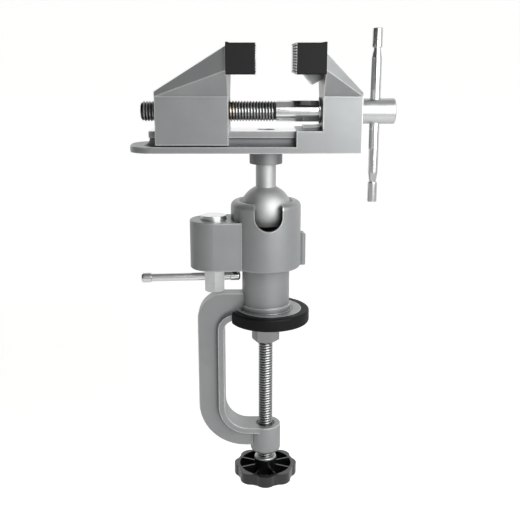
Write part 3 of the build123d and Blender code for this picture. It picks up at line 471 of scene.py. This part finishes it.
# each line names a value and says how it comes from the tree's inputs and the values above it
THREAD_RULE = (
    ("rows", "MULTIPLY_ADD", "Turns", ROWS, SPARE_ROWS),
    ("columns", "ADD", "Facets", 1.0),
    ("last row", "SUBTRACT", "rows", 1.0),
    # a corner's row along the thread and its step round the turn, from its place in the grid
    ("half rows", "MULTIPLY", "last row", 0.5),
    ("rough row", "ADD", "grid x", "half rows"),
    ("row", "ROUND", "rough row"),
    ("half columns", "MULTIPLY", "Facets", 0.5),
    ("rough column", "ADD", "grid y", "half columns"),
    ("column", "ROUND", "rough column"),
    ("turn", "DIVIDE", "column", "Facets"),
    ("angle", "MULTIPLY", "turn", 2 * math.pi),
    # its height along the helix
    ("row in pitch", "MODULO", "row", ROWS),
    ("row and a bit", "ADD", "row", 0.01),
    ("pitches", "DIVIDE", "row and a bit", ROWS),
    ("whole pitches", "FLOOR", "pitches"),
    ("past crest", "GREATER_THAN", "row in pitch", 1.5),
    ("crest cut", "MULTIPLY", "past crest", CREST_CUT),
    ("flanks", "MULTIPLY", "row in pitch", FLANK),
    ("root and flanks", "ADD", "flanks", ROOT_END),
    ("phase", "SUBTRACT", "root and flanks", "crest cut"),
    ("pitches along", "ADD", "whole pitches", "phase"),
    ("turn from start", "SUBTRACT", "turn", EARLY_TURNS),
    ("turns along", "ADD", "pitches along", "turn from start"),
    ("free z", "MULTIPLY", "turns along", "Pitch"),
    ("z below end", "MINIMUM", "free z", "Length"),
    ("z", "MAXIMUM", "z below end", 0.0),
    # its radius, on the root or on the crest
    ("from crest", "SUBTRACT", "row in pitch", 1.5),
    ("far from crest", "ABSOLUTE", "from crest"),
    ("crest", "LESS_THAN", "far from crest", 1.0),
    ("root", "SUBTRACT", "Radius", "Depth"),
    ("rise", "MULTIPLY", "crest", "Depth"),
    ("profile", "ADD", "root", "rise"),
    # the thread narrows to a point at its start and runs out at its end
    ("point radius", "SUBTRACT", "root", "Point"),
    ("start limit", "ADD", "point radius", "z"),
    ("z to end", "SUBTRACT", "Length", "z"),
    ("end limit", "ADD", "root", "z to end"),
    ("limit", "MINIMUM", "start limit", "end limit"),
    ("limited radius", "MINIMUM", "profile", "limit"),
    # the first and last rows are on the axis and close the ends
    ("not first", "GREATER_THAN", "row", 0.5),
    ("near last row", "SUBTRACT", "last row", 0.5),
    ("not last", "LESS_THAN", "row", "near last row"),
    ("inner row", "MULTIPLY", "not first", "not last"),
    ("radius", "MULTIPLY", "limited radius", "inner row"),
    ("cosine", "COSINE", "angle"),
    ("sine", "SINE", "angle"),
    ("x", "MULTIPLY", "radius", "cosine"),
    ("y", "MULTIPLY", "radius", "sine"),
)


def thread_tree():
    """Node tree of a right-hand thread along its own Z, then turned and moved into place."""
    tree = bpy.data.node_groups.new("right_hand_thread", "GeometryNodeTree")
    tree.interface.new_socket("Thread", in_out="OUTPUT", socket_type="NodeSocketGeometry")
    for kind, names in THREAD_INPUTS.items():
        for name in names:
            tree.interface.new_socket(name, in_out="INPUT", socket_type="NodeSocket" + kind)
    given = add_node(tree, "NodeGroupInput").outputs
    spot = add_node(tree, "GeometryNodeInputPosition")
    grid_place = add_node(tree, "ShaderNodeSeparateXYZ", (spot,)).outputs
    values = {name: given[name] for name in THREAD_INPUTS["Float"] + THREAD_INPUTS["Int"]}
    values.update({"grid x": grid_place[0], "grid y": grid_place[1]})
    for name, operation, *inputs in THREAD_RULE:
        sources = [values[source] if isinstance(source, str) else source for source in inputs]
        values[name] = add_node(tree, "ShaderNodeMath", sources, operation=operation).outputs[0]
    grid = add_node(tree, "GeometryNodeMeshGrid", {
        "Size X": values["last row"], "Size Y": values["Facets"],
        "Vertices X": values["rows"], "Vertices Y": values["columns"],
    })
    wound = add_node(tree, "ShaderNodeCombineXYZ", (values["x"], values["y"], values["z"]))
    moved = add_node(tree, "GeometryNodeSetPosition", {"Geometry": grid, "Position": wound})
    joined = add_node(tree, "GeometryNodeMergeByDistance", {"Geometry": moved, "Distance": MERGE})
    placed = add_node(tree, "GeometryNodeTransform", {
        "Geometry": joined, "Translation": given["Place"], "Rotation": given["Direction"],
    })
    real = add_node(tree, "GeometryNodeRealizeInstances", {"Geometry": placed})
    finished = add_node(tree, "GeometryNodeSetMaterial", {"Geometry": real, "Material": given["Material"]})
    add_node(tree, "NodeGroupOutput", {"Thread": finished})
    return tree


def from_tree(tree, name, **inputs):
    """The plain mesh that a node tree makes from these inputs."""
    host = place_mesh(name + "_host", bpy.data.meshes.new(name + "_host"))
    modifier = host.modifiers.new("Shape", "NODES")
    modifier.node_group = tree
    for item in tree.interface.items_tree:
        if item.in_out == "INPUT":
            modifier[item.identifier] = inputs[item.name]
    bpy.context.view_layer.update()
    ready = host.evaluated_get(bpy.context.evaluated_depsgraph_get())
    mesh = bpy.data.meshes.new_from_object(ready)
    host.modifiers.remove(modifier)
    bpy.data.objects.remove(host)
    mesh.name = name
    if len(mesh.polygons) == 0:
        raise RuntimeError(f"{name} came out empty")
    work = bmesh.new()
    work.from_mesh(mesh)
    bmesh.ops.remove_doubles(work, verts=work.verts, dist=MERGE / 2)
    bmesh.ops.dissolve_degenerate(work, edges=work.edges, dist=MERGE / 4)
    bmesh.ops.recalc_face_normals(work, faces=work.faces)
    work.to_mesh(mesh)
    work.free()
    return mesh


def round_normals(mesh, height):
    """Gives the turned faces along X, round this height, the true normals of their cylinder.

    The long triangles between a hole and a rim would bend the reflections.
    """
    true = [(0.0, 0.0, 0.0)] * len(mesh.loops)
    for polygon in mesh.polygons:
        if polygon.material_index == THREAD_SLOT or abs(polygon.normal.x) > 0.1:
            continue
        for corner in polygon.loop_indices:
            place = mesh.vertices[mesh.loops[corner].vertex_index].co
            ray = Vector((0.0, place.y, place.z - height)).normalized()
            if ray.dot(polygon.normal) > 0.85:
                true[corner] = ray
    mesh.normals_split_custom_set(true)


def threaded(node, body, thread, kept, finishes, head=math.inf):
    """Joins a wound thread to the plain end of a screw and puts it in the CAD screw's place.

    finishes are those of the plain end, of the thread and, on a screw along X whose head starts at head, of
    the head.
    """
    plain = merged_copy(node, kept)
    work = bmesh.new()
    work.from_mesh(thread)
    for face in work.faces:
        face.material_index = THREAD_SLOT
    work.from_mesh(plain)
    work.faces.ensure_lookup_table()
    for face in work.faces[len(thread.polygons) :]:
        face.material_index = HEAD_SLOT if min(v.co.x for v in face.verts) > head else PLAIN_SLOT
    mesh = bpy.data.meshes.new(node + "_cut")
    work.to_mesh(mesh)
    work.free()
    for finish in finishes:
        mesh.materials.append(finish)
    for polygon in mesh.polygons:
        polygon.use_smooth = True
    mesh.set_sharp_from_angle(angle=math.radians(30))
    if head < math.inf:
        low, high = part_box(node)
        round_normals(mesh, (low[2] + high[2]) / 2)
    obj = place_mesh(node + "_cut", mesh)
    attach(obj, body)
    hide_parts(node)


# Operators


class VISE_OT_castings(bpy.types.Operator):
    """Paints the clamp frame, the housing, the bed and the moving jaw, and rounds their edges"""

    bl_idname = "vise.castings"
    bl_label = "Castings"

    def execute(self, context):
        colour = tuple(context.scene.vise_paint.paint)
        paint = cast_paint(colour, "silver_paint_on_casting")
        railed = cast_paint(colour, "silver_paint_with_milled_rail")
        mill(railed, RAIL_TOP, RAIL_HALF)
        # painted shade blackens everything inside the housing's skin, up to the mouth's bright taper
        shaded_mouth = cast_paint(colour, "silver_paint_with_greasy_mouth")
        tree, _, place = surface(shaded_mouth)
        height = add_node(tree, "ShaderNodeSeparateXYZ", (place,)).outputs[2]
        taper = (HOUSING_SHADE_TOP, HOUSING_SHADE_TOP + 0.2 * MM)
        above_shade = add_node(tree, "ShaderNodeMapRange", (height, *taper, 0.0, HOUSING_SKIN + MM))
        reach = off_axis(shaded_mouth, (1, 1, 0), (0, 0, 0))
        reach = add_node(tree, "ShaderNodeMath", (reach, above_shade), operation="MAXIMUM")
        darken(shaded_mouth, reach, HOUSING_SKIN - 0.6 * MM, HOUSING_SKIN, HOUSING_SHADE_TONE)
        # painted shade darkens the casting round the clamp screw's hole
        shaded_hole = cast_paint(colour, "silver_paint_with_oily_hole")
        tree, _, place = surface(shaded_hole)
        away = add_node(tree, "ShaderNodeVectorMath", (place, (0, 0, THROAT_LOW)), operation="DISTANCE")
        darken(shaded_hole, away.outputs["Value"], *HOLE_SHADE_EDGE, HOLE_SHADE_TONE)
        for name in CASTINGS:
            soften(NODES[name], context.scene.vise_edges.cast, 3)
            finish_with(NODES[name], {"bed": railed, "housing": shaded_mouth, "clamp_frame": shaded_hole}.get(name, paint))
        return {"FINISHED"}


class VISE_OT_steel(bpy.types.Operator):
    """Finishes the ball, the foot and the hardware as turned steel"""

    bl_idname = "vise.steel"
    bl_label = "Turned steel"

    def execute(self, context):
        colour = tuple(context.scene.vise_paint.steel)
        for name, axis in {**TURNED, **HARDWARE}.items():
            rough = BALL_ROUGH if name == "ball_stud" else STEEL_ROUGH
            # the foot's colour is darker than the rest
            tone = dimmed(colour, FOOT_TONE) if name == "pressure_foot" else colour
            steel = turned_metal(f"turned_steel_{name}", tone, axis, rough, marks=0.25 * MM)
            if name == "ball_stud":
                tree, _, place = surface(steel)
                height = add_node(tree, "ShaderNodeSeparateXYZ", (place,)).outputs[2]
                # the collar is left as it was cut, and duller than the ball and neck
                darken(steel, height, COLLAR_LOW - 0.3 * MM, COLLAR_LOW, 1.0, COLLAR_TONE)
                # below the cup's rim the ball is painted black: painted shade inside the housing, with grease
                darken(steel, height, CUP_RIM - 0.4 * MM, CUP_RIM + 0.4 * MM, BALL_SHADE_AND_GREASE_TONE)
            finish_with(NODES[name], steel)
            soften(NODES[name], context.scene.vise_edges.metal)
        return {"FINISHED"}


class VISE_OT_plated(bpy.types.Operator):
    """Finishes the disc, the lever, the bar and their knobs and caps as plated steel"""

    bl_idname = "vise.plated"
    bl_label = "Plating"

    def execute(self, context):
        colour = tuple(context.scene.vise_paint.plating)
        # bright plating mirrors what is round it in clean bands, and satin plating blurs them
        for finished, tone, rough, bite in (
            (PLATED, dimmed(colour, PLATING_TONE), BRIGHT_ROUGH, 0.02),
            (SATIN, colour, SATIN_ROUGH, 0.08),
        ):
            for name, axis in finished.items():
                finish_with(NODES[name], turned_metal(f"plating_{name}", tone, axis, rough, 0.4 * MM, bite))
                soften(NODES[name], context.scene.vise_edges.metal)
        return {"FINISHED"}


class VISE_OT_threads(bpy.types.Operator):
    """Winds real right-hand threads on the lead screw and the clamp screw"""

    bl_idname = "vise.threads"
    bl_label = "Screw threads"

    def execute(self, context):
        sizes = context.scene.vise_threads
        steel, plating = tuple(context.scene.vise_paint.steel), tuple(context.scene.vise_paint.plating)
        tree = thread_tree()

        low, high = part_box("lead_screw")
        middle = (0.0, 0.0, (low[2] + high[2]) / 2)
        bright = turned_metal("bright_plating_lead_screw", plating, "X", (0.14, 0.22), 0.4 * MM, bite=0.02)
        # handling has dulled the head's plating
        dull = dimmed(plating, HEAD_TONE)
        satin = turned_metal("satin_plating_lead_screw_head", dull, "X", (0.3, 0.42), 0.4 * MM)
        cut = turned_metal("cut_thread_lead_screw", steel, "X", (0.22, 0.36), 0.3 * MM)
        # painted shade with some oil darkens the roots of a thread, but not the end of the screw
        nodes, _, place = surface(cut)
        along = add_node(nodes, "ShaderNodeSeparateXYZ", (place,)).outputs[0]
        face = (low[0] + 0.1 * MM, low[0] + 0.3 * MM)
        end = add_node(nodes, "ShaderNodeMapRange", (along, *face, sizes.lead_radius, 0.0))
        reach = add_node(nodes, "ShaderNodeMath", (off_axis(cut, (0, 1, 1), middle), end), operation="MAXIMUM")
        darken(cut, reach, sizes.lead_radius - sizes.lead_root, sizes.lead_radius, ROOT_SHADE_AND_OIL_TONE)
        length = LEAD_PLAIN - low[0]
        thread = from_tree(
            tree, "lead_thread", Length=length, Radius=sizes.lead_radius, Depth=sizes.lead_root, Pitch=sizes.pitch,
            Point=0.6 * MM, Facets=sizes.facets, Turns=math.ceil(length / sizes.pitch),
            Place=(low[0], 0.0, middle[2]), Direction=(0.0, math.pi / 2, 0.0), Material=cut,
        )
        threaded(
            "lead_screw", "lead", thread, lambda face: min(v.co.x for v in face.verts) > LEAD_PLAIN - SLACK,
            (bright, cut, satin), HEAD_LEFT,
        )

        low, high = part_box("clamp_screw")
        plain = turned_metal("turned_steel_clamp_screw", steel, "Z", (0.26, 0.4), 0.25 * MM)
        cut = turned_metal("cut_thread_clamp_screw", steel, "Z", (0.32, 0.44), 0.3 * MM)
        # painted shade with some oil darkens the roots of the thread
        reach = off_axis(cut, (1, 1, 0), (0, 0, 0))
        darken(cut, reach, sizes.clamp_radius - sizes.clamp_root, sizes.clamp_radius, ROOT_SHADE_AND_OIL_TONE)
        length = CLAMP_PLAIN - low[2]
        thread = from_tree(
            tree, "clamp_thread", Length=length, Radius=sizes.clamp_radius, Depth=sizes.clamp_root, Pitch=sizes.pitch,
            Point=0.3 * MM, Facets=sizes.facets, Turns=math.ceil(length / sizes.pitch),
            Place=(0.0, 0.0, low[2]), Direction=(0.0, 0.0, 0.0), Material=cut,
        )
        threaded(
            "clamp_screw", "clamp", thread, lambda face: min(v.co.z for v in face.verts) > CLAMP_PLAIN - SLACK,
            (plain, cut),
        )
        return {"FINISHED"}


class VISE_OT_rubber(bpy.types.Operator):
    """Finishes the ribbed pads and the ring as moulded rubber"""

    bl_idname = "vise.rubber"
    bl_label = "Rubber"

    def execute(self, context):
        colour = tuple(context.scene.vise_paint.rubber)
        radius = context.scene.vise_edges.rubber
        for name, grip in PADS.items():
            pad = moulded(
                f"moulded_rubber_{name}", colour, linear("242425"), grain=0.5 * MM, rough=(0.62, 0.8),
                depth=0.08 * MM, shine=0.25,
            )
            # the rib tips get pale dust and a painted highlight
            dust_and_sheen_tips(pad, grip)
            finish_with(NODES[name], pad)
            soften(NODES[name], radius)
        # the ring is smoother and blacker than the pads
        ring = moulded(
            "moulded_rubber_ring", linear("060607"), linear("101011"), grain=0.8 * MM, rough=(0.45, 0.62),
            depth=0.06 * MM, shine=0.22,
        )
        finish_with(NODES["table_ring"], ring)
        soften(NODES["table_ring"], radius)
        return {"FINISHED"}


class VISE_OT_knob(bpy.types.Operator):
    """Finishes the lobed knob as glossy moulded plastic"""

    bl_idname = "vise.knob"
    bl_label = "Knob"

    def execute(self, context):
        # a thin glossy skin gives the black lobes their sharp highlights
        plastic = moulded(
            "glossy_moulded_plastic", tuple(context.scene.vise_paint.knob), linear("1E1E20"), grain=2.5 * MM,
            rough=(0.12, 0.24), depth=0.05 * MM, coat=0.3,
        )
        finish_with(NODES["clamp_knob"], plastic)
        soften(NODES["clamp_knob"], context.scene.vise_edges.plastic)
        return {"FINISHED"}


class VISE_OT_inside(bpy.types.Operator):
    """Finishes the brass nut, the nylon cup and washer, and the steel inside the housing and the jaw"""

    bl_idname = "vise.inside"
    bl_label = "Inside pieces"

    def execute(self, context):
        # brass shows a warm yellow with the cutter's lines, nylon a waxy white
        brass = turned_metal("turned_brass", linear("C9A25A"), "X", (0.22, 0.36), marks=0.3 * MM)
        nylon = moulded(
            "moulded_nylon", linear("DDDAD0"), linear("F0EEE6"), grain=0.6 * MM, rough=(0.45, 0.6), depth=0.04 * MM
        )
        colour = tuple(context.scene.vise_paint.steel)
        steel = turned_metal("turned_steel_inside", colour, "Z", (0.3, 0.42), marks=0.25 * MM)
        for name, finish in (
            ("jaw_nut", brass), ("seat_cup", nylon), ("thrust_washer", nylon), ("socket_base", steel),
            ("gib_screws", steel),
        ):
            finish_with(NODES[name], finish)
        return {"FINISHED"}


class VISE_OT_studio(bpy.types.Operator):
    """Sets the pale floor, the soft lights and the camera at the photograph's angle"""

    bl_idname = "vise.studio"
    bl_label = "Floor, light and camera"

    def execute(self, context):
        studio = context.scene.vise_studio
        self.lay_paper(studio)
        self.hang_lights(context.scene, studio)
        self.put_up_tent(context.scene, studio)
        context.scene.view_settings.view_transform = "Standard"
        camera = bpy.data.cameras.new("photograph")
        camera.sensor_width = 36.0
        camera.lens = studio.lens
        camera.clip_start = 10 * MM
        eye = bpy.data.objects.new("photograph", camera)
        eye.location = CAMERA_PLACE
        eye.rotation_euler = (math.pi / 2 - CAMERA_DOWN, 0.0, 0.0)
        context.scene.collection.objects.link(eye)
        context.scene.camera = eye
        return {"FINISHED"}

    def lay_paper(self, studio):
        """Lays a sheet of pale matt paper flat below the vise, which sweeps up far behind it."""
        colour = tuple(studio.floor)
        material, tree, shader, place = new_material("pale_paper", colour)
        shader.inputs["Emission Color"].default_value = colour
        # fibres drawn 40 mm across, because the paper is only seen from afar
        fibre = add_node(tree, "ShaderNodeTexNoise", {"Vector": place, "Scale": 1 / (40 * MM), "Detail": 2.0})
        gloss = add_node(tree, "ShaderNodeMapRange", (fibre, 0.0, 1.0, 0.85, 0.95))
        tree.links.new(gloss.outputs[0], shader.inputs["Roughness"])
        depth = add_node(tree, "ShaderNodeSeparateXYZ", (place,)).outputs[1]
        glow = add_node(
            tree, "ShaderNodeMapRange", (depth, GLOW_NEAR, GLOW_FAR, studio.floor_glow, studio.back_glow)
        )
        bare = add_node(tree, "ShaderNodeMapRange", (depth, GLOW_NEAR, GLOW_FAR, studio.bare_glow, 0.0))
        seen = add_node(tree, "ShaderNodeLightPath").outputs["Is Camera Ray"]
        shown = add_node(tree, "ShaderNodeMath", (seen, bare, glow), operation="MULTIPLY_ADD")
        tree.links.new(shown.outputs[0], shader.inputs["Emission Strength"])
        # places along Y, and heights above the floor, of the paper's rows
        bends = [math.pi / 2 * step / SWEEP_STEPS for step in range(1, SWEEP_STEPS + 1)]
        profile = [(PAPER_FRONT, 0.0), (SWEEP_START, 0.0)]
        profile += [(SWEEP_START + SWEEP_RADIUS * math.sin(a), SWEEP_RADIUS * (1 - math.cos(a))) for a in bends]
        profile += [(SWEEP_START + SWEEP_RADIUS, PAPER_TOP)]
        # the floor is below the knob even with the clamp wide open
        floor = CAD_BOX[0][2] - CLAMP_TRAVEL - MM
        work = bmesh.new()
        rows = [[work.verts.new((x, y, floor + z)) for x in (-PAPER_HALF, PAPER_HALF)] for y, z in profile]
        for first, second in zip(rows, rows[1:]):
            work.faces.new((first[0], first[1], second[1], second[0]))
        mesh = bpy.data.meshes.new("paper_sweep")
        work.to_mesh(mesh)
        work.free()
        for polygon in mesh.polygons:
            polygon.use_smooth = True
        mesh.materials.append(material)
        place_mesh("paper_sweep", mesh)

    def hang_lights(self, scene, studio):
        """Hangs two soft square lights that point at the vise."""
        for name, (spot, width) in LIGHTS.items():
            lamp = bpy.data.lights.new(name, "AREA")
            lamp.shape = "SQUARE"
            lamp.size = width
            lamp.energy = getattr(studio, name)
            light = bpy.data.objects.new(name, lamp)
            light.location = spot
            light.rotation_euler = (LIGHT_AIM - Vector(spot)).to_track_quat("-Z", "Y").to_euler()
            scene.collection.objects.link(light)

    def put_up_tent(self, scene, studio):
        """Puts a light tent round it all, bright to the right and dim to the left, for metal to mirror.

        The bare background is plain and pale.
        """
        world = bpy.data.worlds.new("light_tent")
        world.use_nodes = True
        tree = world.node_tree
        tree.nodes.clear()
        way = add_node(tree, "ShaderNodeTexCoord").outputs["Generated"]
        parts = add_node(tree, "ShaderNodeSeparateXYZ", (way,)).outputs
        smooth = {"interpolation_type": "SMOOTHSTEP"}
        side = add_node(tree, "ShaderNodeMapRange", (parts[0], -0.35, 0.4, 0.08, 0.62), **smooth)
        over = add_node(tree, "ShaderNodeMapRange", (parts[2], 0.2, 0.85, 1.0, 0.8), **smooth)
        strength = add_node(tree, "ShaderNodeMath", (side, over), operation="MULTIPLY")
        tent = add_node(tree, "ShaderNodeBackground", {"Color": (1, 1, 1, 1), "Strength": strength})
        plain = add_node(tree, "ShaderNodeBackground", {"Color": tuple(studio.floor), "Strength": 1.0})
        seen = add_node(tree, "ShaderNodeLightPath").outputs["Is Camera Ray"]
        both = add_node(tree, "ShaderNodeMixShader", (seen, tent, plain))
        add_node(tree, "ShaderNodeOutputWorld", {"Surface": both})
        scene.world = world


OPERATORS = (
    VISE_OT_castings, VISE_OT_steel, VISE_OT_plated, VISE_OT_threads, VISE_OT_rubber, VISE_OT_knob, VISE_OT_inside,
    VISE_OT_studio,
)
GROUPS = {"vise_paint": VisePaint, "vise_edges": ViseEdges, "vise_threads": ViseThreads, "vise_studio": ViseStudio}


class VISE_PT_panel(bpy.types.Panel):
    """Lists the sizes and colours, and a button for each operator"""

    bl_idname = "VISE_PT_panel"
    bl_label = "Ball vise"
    bl_space_type = "VIEW_3D"
    bl_region_type = "UI"
    bl_category = "Ball vise"

    def draw(self, context):
        for group in GROUPS:
            settings = getattr(context.scene, group)
            for name in settings.__annotations__:
                self.layout.prop(settings, name)
        for operator in OPERATORS:
            self.layout.operator(operator.bl_idname)


def register():
    for item in (*GROUPS.values(), *OPERATORS, VISE_PT_panel):
        bpy.utils.register_class(item)
    for name, group in GROUPS.items():
        setattr(bpy.types.Scene, name, PointerProperty(type=group))


def unregister():
    for name in GROUPS:
        delattr(bpy.types.Scene, name)
    for item in (VISE_PT_panel, *reversed(OPERATORS), *reversed(GROUPS.values())):
        bpy.utils.unregister_class(item)


def main():
    register()
    bpy.ops.vise.castings()
    bpy.ops.vise.steel()
    bpy.ops.vise.plated()
    bpy.ops.vise.threads()
    bpy.ops.vise.rubber()
    bpy.ops.vise.knob()
    bpy.ops.vise.inside()
    bpy.ops.vise.studio()


if __name__ == "__main__":
    main()
